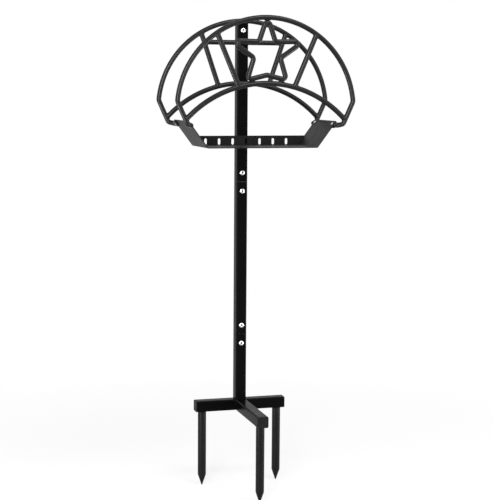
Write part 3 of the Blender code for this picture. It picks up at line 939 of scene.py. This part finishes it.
def add_caps(plastic):
    left = low("crossbar_cap_left", X)
    right = high("crossbar_cap_right", X)
    places = {
        "crossbar_cap_left": place(left, 0, HALF_TUBE, facing(RIGHTWARD)),
        "crossbar_cap_right": place(right, 0, HALF_TUBE, facing(LEFTWARD)),
        "arm_cap": place(0, low("arm_cap", Y), HALF_TUBE, facing(BACKWARD)),
        "post_cap": place(0, 0, high("post_cap", Z), facing(DOWNWARD)),
    }
    for node, matrix in places.items():
        keep_flat(add_smooth(node, end_cap(), plastic, "plastic", matrix))


def add_prongs(coat):
    """Round prongs, turned to a blunted point."""
    shoulder = PRONG_TAPER - PRONG_LENGTH
    point = PRONG_POINT - PRONG_LENGTH
    profile = [
        (-GAP, 0),
        (-GAP, PRONG_RADIUS),
        (shoulder + PRONG_SHOULDER_LENGTH, PRONG_RADIUS),
        (shoulder, PRONG_RADIUS - PRONG_SHOULDER_DROP),
        (point, PRONG_POINT),
    ]
    for step in range(1, POINT_STEPS + 1):
        angle = math.pi / 2 * step / POINT_STEPS
        height = point - PRONG_POINT * math.sin(angle)
        profile.append((height, PRONG_POINT * math.cos(angle)))
    for node in PRONGS:
        matrix = place(middle(node, X), middle(node, Y), 0)
        add_smooth(node, turned(profile), coat, "prong_coat", matrix)


# Tray


def mirrored_line(points):
    """A line on the right, joined to its mirror image on the left."""
    return points + [Vector((-point.x, point.y, point.z)) for point in reversed(points)]


def tray_outline():
    """The outline of the bent sheet, seen from the front: its outside, then its inside."""
    inner_foot = WALL_FOOT + TRAY_THICKNESS * Vector((-math.tan(TRAY_WALL_ANGLE / 2), 1))
    inner_top = WALL_TOP + WALL_NORMAL * TRAY_THICKNESS
    lines = []
    for top, foot, bend in (
        (WALL_TOP, WALL_FOOT, TRAY_BEND + TRAY_THICKNESS),
        (inner_top, inner_foot, TRAY_BEND),
    ):
        start = in_plane(top)
        corner = round_corner(start, in_plane(foot), in_plane((0, foot.y)), bend)
        lines.append(mirrored_line([start] + corner))
    outside, inside = lines
    return outside + inside[::-1]


def plate(bm, outline, front, back):
    """A flat outline in the XZ plane, drawn out between two depths."""
    face = bm.faces.new([bm.verts.new((point.x, front, point.z)) for point in outline])
    made = bmesh.ops.extrude_face_region(bm, geom=[face])
    bmesh.ops.translate(bm, vec=(0, back - front, 0), verts=new_items(made, bmesh.types.BMVert))


def flange():
    """The upright back flange; its edges end inside the sheet, just short of its back edge."""
    inside = TRAY_THICKNESS / 2
    slope = WALL_WAY.x / WALL_WAY.y
    inward = inside / math.sin(TRAY_WALL_ANGLE)
    corners = []
    for height in (WALL_FOOT.y + inside, WALL_FOOT.y + FLANGE_HEIGHT):
        half_width = WALL_FOOT.x + (height - WALL_FOOT.y) * slope - inward
        corners.append(Vector((half_width, 0, height)))
    bm = bmesh.new()
    plate(bm, mirrored_line(corners), TRAY_BACK - GAP - TRAY_THICKNESS, TRAY_BACK - GAP)
    return bm


def slots():
    """Upright slots with round ends, spread evenly to both sides of the middle."""
    bm = bmesh.new()
    radius = SLOT_WIDTH / 2
    foot = WALL_FOOT.y + SLOT_SILL + radius
    head = foot + SLOT_HEIGHT - SLOT_WIDTH
    count = int((WALL_FOOT.x - SLOT_MARGIN) / SLOT_PITCH)
    for number in range(-count, count + 1):
        outline = []
        for height, start in ((head, -math.pi / 2), (foot, math.pi / 2)):
            for point in arc_points(radius, height, start, start + math.pi, 2 * TURN_STEP):
                outline.append(point + Vector((number * SLOT_PITCH, 0, 0)))
        plate(bm, outline, TRAY_BACK - 2 * TRAY_THICKNESS, TRAY_BACK + TRAY_THICKNESS)
    return bm


def add_tool(piece, name, bm, operation):
    """A helper that is joined to the piece or cut from it, and then removed."""
    bmesh.ops.recalc_face_normals(bm, faces=bm.faces[:])
    tool = add_object(name, mesh_of(name, bm))
    modifier = piece.modifiers.new(name, "BOOLEAN")
    modifier.operation = operation
    modifier.solver = "EXACT"
    modifier.object = tool
    return tool


def add_tray(coat):
    bm = bmesh.new()
    plate(bm, tray_outline(), TRAY_FRONT, TRAY_BACK)
    piece = add_piece("tray_smooth", bm, coat, "sheet_coat", "tray")
    tools = (
        add_tool(piece, "flange", flange(), "UNION"),
        add_tool(piece, "slots", slots(), "DIFFERENCE"),
    )
    edge = piece.modifiers.new("eased_edges", "BEVEL")
    edge.width = TRAY_EDGE
    edge.segments = TRAY_EDGE_SEGMENTS
    edge.limit_method = "ANGLE"
    edge.angle_limit = TRAY_EDGE_ANGLE
    evaluated = piece.evaluated_get(bpy.context.evaluated_depsgraph_get())
    mesh = bpy.data.meshes.new_from_object(evaluated)
    shade_round(mesh)
    piece.modifiers.clear()
    piece.data = mesh
    for tool in tools:
        bpy.data.objects.remove(tool, do_unlink=True)
    keep_flat(piece)


# Fasteners


def on_hexagon(angle, half_width):
    """How far out a hexagon's side lies in this direction."""
    sixth = math.pi / 3
    return half_width / math.cos((angle % sixth) - sixth / 2)


def hexagon_ring(bm, height, half_width, round_radius=None):
    """A ring of points on a hexagon, or on the circle that eases its corners."""
    made = bmesh.ops.create_circle(bm, radius=1, segments=ROUND_SIDES)
    for vert in made["verts"]:
        angle = math.atan2(vert.co.y, vert.co.x)
        out = on_hexagon(angle, half_width)
        if round_radius:
            out = min(out, round_radius)
        vert.co = (out * math.cos(angle), out * math.sin(angle), height)
    return edges_of(made)


def bridge_rings(bm, rings):
    for first, second in zip(rings, rings[1:]):
        bmesh.ops.bridge_loops(bm, edges=first + second)


def close_rings(bm, rings):
    """Join the rings, and close the first and the last."""
    bridge_rings(bm, rings)
    bmesh.ops.contextual_create(bm, geom=rings[0])
    bmesh.ops.contextual_create(bm, geom=rings[-1])


def bolt_head(bm):
    """A button head with a hexagon socket, its underside at Z = 0."""
    rim = HEAD_RADIUS
    socket = SOCKET_WIDTH / 2
    mouth = socket / math.cos(math.pi / 6)
    rings = [
        hexagon_ring(bm, 0, rim, rim * HEAD_UNDERSIDE),
        hexagon_ring(bm, HEAD_BREAK, rim, rim),
    ]
    dome = HEAD_HEIGHT - HEAD_EDGE
    inner = mouth + HEAD_BREAK
    for step in range(DOME_STEPS + 1):
        angle = math.pi / 2 * step / DOME_STEPS
        out = inner + (rim - inner) * math.cos(angle)
        rings.append(hexagon_ring(bm, HEAD_EDGE + dome * math.sin(angle), rim, out))
    rings.append(hexagon_ring(bm, HEAD_HEIGHT - HEAD_BREAK, socket))
    rings.append(hexagon_ring(bm, HEAD_HEIGHT - SOCKET_DEPTH, socket))
    close_rings(bm, rings)
    # The socket's faces take a dark zinc that paints the shade in the recess
    for face in bm.faces:
        if max(vert.co.xy.length for vert in face.verts) < mouth + SOCKET_MARGIN:
            face.material_index = SOCKET_SHADE_INDEX


def threaded_end(bm, start, end):
    """The shank's end, with a thread's crests and roots along its last stretch."""
    steps = round((end - start) / THREAD_PITCH * 2)
    rings = []
    for step in range(steps + 1):
        height = start + (end - start) * step / steps
        depth = THREAD_PITCH / 2 if step % 2 else 0
        rings.append(hexagon_ring(bm, height, SHANK, SHANK - depth))
    rings.append(hexagon_ring(bm, end, SHANK, SHANK - THREAD_PITCH))
    close_rings(bm, rings)


def bolt(reach, thread):
    """A bolt along Z, from -reach to its head's underside at Z = 0; this much thread shows."""
    bm = bmesh.new()
    bolt_head(bm)
    threaded_end(bm, -reach, thread - reach)
    return bm


def nut():
    """A hexagon nut standing on Z = 0, with its corners eased at both faces."""
    bm = bmesh.new()
    half = NUT_ACROSS_FLATS / 2
    bore = SHANK + NUT_BORE_CLEARANCE
    rings = [
        hexagon_ring(bm, 0, SHANK, bore),
        hexagon_ring(bm, 0, half, half * NUT_FACE),
        hexagon_ring(bm, NUT_CHAMFER, half),
        hexagon_ring(bm, NUT_HEIGHT - NUT_CHAMFER, half),
        hexagon_ring(bm, NUT_HEIGHT, half, half * NUT_FACE),
        hexagon_ring(bm, NUT_HEIGHT, SHANK, bore),
    ]
    bridge_rings(bm, rings + rings[:1])
    return bm


def add_bolt(node, bm, zinc, socket, matrix):
    """A bolt in zinc plate, with a dark zinc that paints the shade in its socket as its second
    material.
    """
    piece = add_smooth(node, bm, zinc, "bright_zinc", matrix)
    piece.data.materials.append(socket)


def add_fasteners(zinc, grey_zinc, socket):
    reach = TUBE_WIDTH + 2 * GAP + NUT_HEIGHT + THREAD_END
    thread = THREAD_END + 2 * THREAD_PITCH
    for number in range(1, POST_BOLTS + 1):
        node = f"post_bolt_{number}"
        height = middle(node, Z)
        matrix = place(0, -HALF_TUBE - GAP, height, facing(FORWARD))
        add_bolt(node, bolt(reach, thread), zinc, socket, matrix)
        node = f"post_nut_{number}"
        matrix = place(0, HALF_TUBE + GAP, height, facing(BACKWARD))
        add_smooth(node, nut(), zinc, "bright_zinc", matrix)

    reach = (TRAY_THICKNESS + 2 * GAP + EYE_THICKNESS + SCREW_END) / SCREW_SCALE
    smaller = Matrix.Scale(SCREW_SCALE, 4)
    for corner, depth in zip(("front", "back"), SCREW_DEPTHS):
        for side, sign in SIDES:
            way = Vector((sign * WALL_NORMAL.x, 0, WALL_NORMAL.y))
            node = f"tray_screw_{corner}_{side}"
            matrix = place(sign * HEAD_SEAT.x, depth, HEAD_SEAT.y, facing(way)) @ smaller
            add_bolt(node, bolt(reach, thread), grey_zinc, socket, matrix)


# Wire frames


def add_frame(name, plane, tray_side, spoke_top, spoke_foot, coat):
    matrix = place(0, plane, 0)
    add_smooth(f"{name}_hoop", hoop(tray_side), coat, "rod_coat", matrix)
    add_smooth(f"{name}_saddle", rod(saddle_path()), coat, "rod_coat", matrix)
    for side, sign in SIDES:
        path = spoke_ends(spoke_top, spoke_foot, sign)
        add_smooth(f"{name}_spoke_{side}", rod(path), coat, "rod_coat", matrix)


def add_frames(coat):
    add_frame("front", FRONT_PLANE, BACKWARD, FRONT_SPOKE_TOP, FRONT_SPOKE_FOOT, coat)
    star = rod(star_path(), closed=True)
    add_smooth("front_star", star, coat, "rod_coat", place(0, FRONT_PLANE, 0))
    add_frame("back", BACK_PLANE, FORWARD, BACK_SPOKE_TOP, BACK_SPOKE_FOOT, coat)
    add_smooth("back_bar", rod(bar_ends()), coat, "rod_coat", place(0, BACK_PLANE, 0))


# Studio

FLOOR_RADIUS = 6.0
FLOOR_GREY = 0.20
FLOOR_ROUGHNESS = 0.8
FLOOR_LEVEL = 0.2
# The light that the floor adds where it is seen, and where it starts and ends to turn white
FLOOR_LIFT = 0.70
FLOOR_FADE = (0.3, 1.2)
AMBIENT = 0.35
CAMERA_PLACE = Vector((-0.853, -3.030, 0.741))
CAMERA_AZIMUTH = math.radians(-15.98)
CAMERA_DROP = math.radians(6.76)
CAMERA_ROLL = math.radians(0.38)
PHOTO_HEIGHT_PIXELS = 500
FOCAL_PIXELS = 1395.8
SENSOR_MM = 36

# The point that every lamp faces, and each lamp's place, width, height and power in watts
LIGHT_TARGET = Vector((0, -0.1, 0.45))
LAMPS = {
    "left_strip": ((-1.6, -1.6, 0.8), 1.2, 2.0, 34),
    "right_strip": ((1.6, -1.7, 0.8), 1.0, 2.0, 22),
    "front_strip": ((-1.49, -3.06, 1.475), 0.9, 2.25, 128),
    "left_low": ((-1.3, -0.6, -0.02), 0.5, 0.25, 14),
    "right_low": ((1.15, -0.75, -0.02), 0.5, 0.25, 11),
    "top_box": ((0.5, -1.5, 2.35), 1.3, 0.7, 42),
}


def seen_directly(tree):
    """1 on camera, glossy and transmission rays, and 0 on the rays that light other things."""
    path = add_node(tree, "ShaderNodeLightPath")
    value = path.outputs["Is Camera Ray"]
    for name in ("Is Glossy Ray", "Is Transmission Ray"):
        either = add_node(tree, "ShaderNodeMath", operation="MAXIMUM")
        tree.links.new(value, either.inputs[0])
        tree.links.new(path.outputs[name], either.inputs[1])
        value = either.outputs[0]
    return value


def add_world():
    """White where it is seen, softer where it lights."""
    world = bpy.data.worlds.new("white_studio")
    world.use_nodes = True
    tree = world.node_tree
    background = tree.nodes["Background"]
    background.inputs["Color"].default_value = (1, 1, 1, 1)
    strength = between(tree, seen_directly(tree), AMBIENT, 1, start=0, end=1)
    tree.links.new(strength, background.inputs["Strength"])
    bpy.context.scene.world = world


def floor_material():
    """A pale floor that keeps its shadows near the stand and runs into white further out."""
    material, tree, shader = new_material("pale_floor", FLOOR_ROUGHNESS, level=FLOOR_LEVEL)
    shader.inputs["Base Color"].default_value = (FLOOR_GREY, FLOOR_GREY, FLOOR_GREY, 1)
    shader.inputs["Emission Color"].default_value = (1, 1, 1, 1)
    lift = between(tree, seen_directly(tree), 0, FLOOR_LIFT, start=0, end=1)
    tree.links.new(lift, shader.inputs["Emission Strength"])
    coords = add_node(tree, "ShaderNodeTexCoord")
    distance = add_node(tree, "ShaderNodeVectorMath", operation="LENGTH")
    tree.links.new(coords.outputs["Object"], distance.inputs[0])
    fade = between(tree, distance.outputs["Value"], 0, 1, *FLOOR_FADE)
    white = add_node(tree, "ShaderNodeEmission")
    mix = add_node(tree, "ShaderNodeMixShader")
    tree.links.new(fade, mix.inputs[0])
    tree.links.new(shader.outputs[0], mix.inputs[1])
    tree.links.new(white.outputs[0], mix.inputs[2])
    tree.links.new(mix.outputs[0], tree.nodes["Material Output"].inputs["Surface"])
    return material


def add_floor():
    bm = bmesh.new()
    bmesh.ops.create_circle(bm, cap_ends=True, radius=FLOOR_RADIUS, segments=FLOOR_SIDES)
    mesh = mesh_of("floor", bm)
    mesh.materials.append(floor_material())
    floor = add_object("floor", mesh)
    floor.location = (0, 0, cad_box[0].z)


def add_lights():
    for name, (position, width, height, power) in LAMPS.items():
        lamp = bpy.data.lights.new(name, "AREA")
        lamp.shape = "RECTANGLE"
        lamp.size = width
        lamp.size_y = height
        lamp.energy = power
        light = add_object(name, lamp)
        light.location = position
        way = LIGHT_TARGET - Vector(position)
        light.rotation_euler = way.to_track_quat("-Z", "Y").to_euler()


def add_camera():
    data = bpy.data.cameras.new("camera")
    data.sensor_width = SENSOR_MM
    data.lens = FOCAL_PIXELS / PHOTO_HEIGHT_PIXELS * SENSOR_MM
    camera = add_object("camera", data)
    turn = Matrix.Rotation(CAMERA_AZIMUTH, 4, "Z")
    tip = Matrix.Rotation(math.pi / 2 - CAMERA_DROP, 4, "X")
    roll = Matrix.Rotation(CAMERA_ROLL, 4, "Z")
    camera.matrix_world = Matrix.Translation(CAMERA_PLACE) @ turn @ tip @ roll
    bpy.context.scene.camera = camera


def paint_nodes(material, *nodes):
    """Give nodes that keep their own mesh a finished material."""
    for node in nodes:
        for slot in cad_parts[node].material_slots:
            slot.material = material


def build_scene():
    rod_coat = powder_coat(
        "satin_rod_coat",
        dark=(0.0025, 0.0025, 0.0027),
        light=(0.0040, 0.0040, 0.0043),
        rough=0.28,
        level=0.17,
        peel=0.03,
    )
    tube_coat = powder_coat(
        "satin_tube_coat",
        dark=(0.0010, 0.0010, 0.0011),
        light=(0.0016, 0.0016, 0.0018),
        rough=0.28,
        level=0.028,
        peel=0.05,
    )
    sheet_coat = powder_coat(
        "satin_sheet_coat",
        dark=(0.0040, 0.0039, 0.0038),
        light=(0.0060, 0.0059, 0.0057),
        rough=0.48,
        level=0.090,
        peel=0.12,
    )
    prong_coat = powder_coat(
        "satin_prong_coat",
        dark=(0.0024, 0.0024, 0.0026),
        light=(0.0036, 0.0036, 0.0039),
        rough=0.32,
        level=0.12,
        peel=0.05,
    )
    add_frames(rod_coat)
    add_front_beads(rod_coat)
    add_back_beads(rod_coat)
    add_tubes(tube_coat)
    add_base_beads(tube_coat)
    add_prongs(prong_coat)
    add_caps(moulded_plastic())
    add_tray(sheet_coat)
    add_fasteners(
        zinc_plate("bright_zinc_plate", (0.56, 0.57, 0.59), (0.62, 0.60, 0.55), 0.24),
        zinc_plate("grey_zinc_plate", (0.30, 0.30, 0.31), (0.36, 0.34, 0.31), 0.36),
        # A dark zinc that paints the shade inside the bolts' sockets
        zinc_plate("socket_painted_shade_zinc", (0.030, 0.030, 0.032), (0.060, 0.057, 0.052), 0.55),
    )
    paint_nodes(dull_zinc(), "lower_sleeve", "upper_sleeve")
    add_world()
    add_floor()
    add_lights()
    add_camera()
    bpy.context.scene.view_settings.view_transform = "Standard"


build_scene()
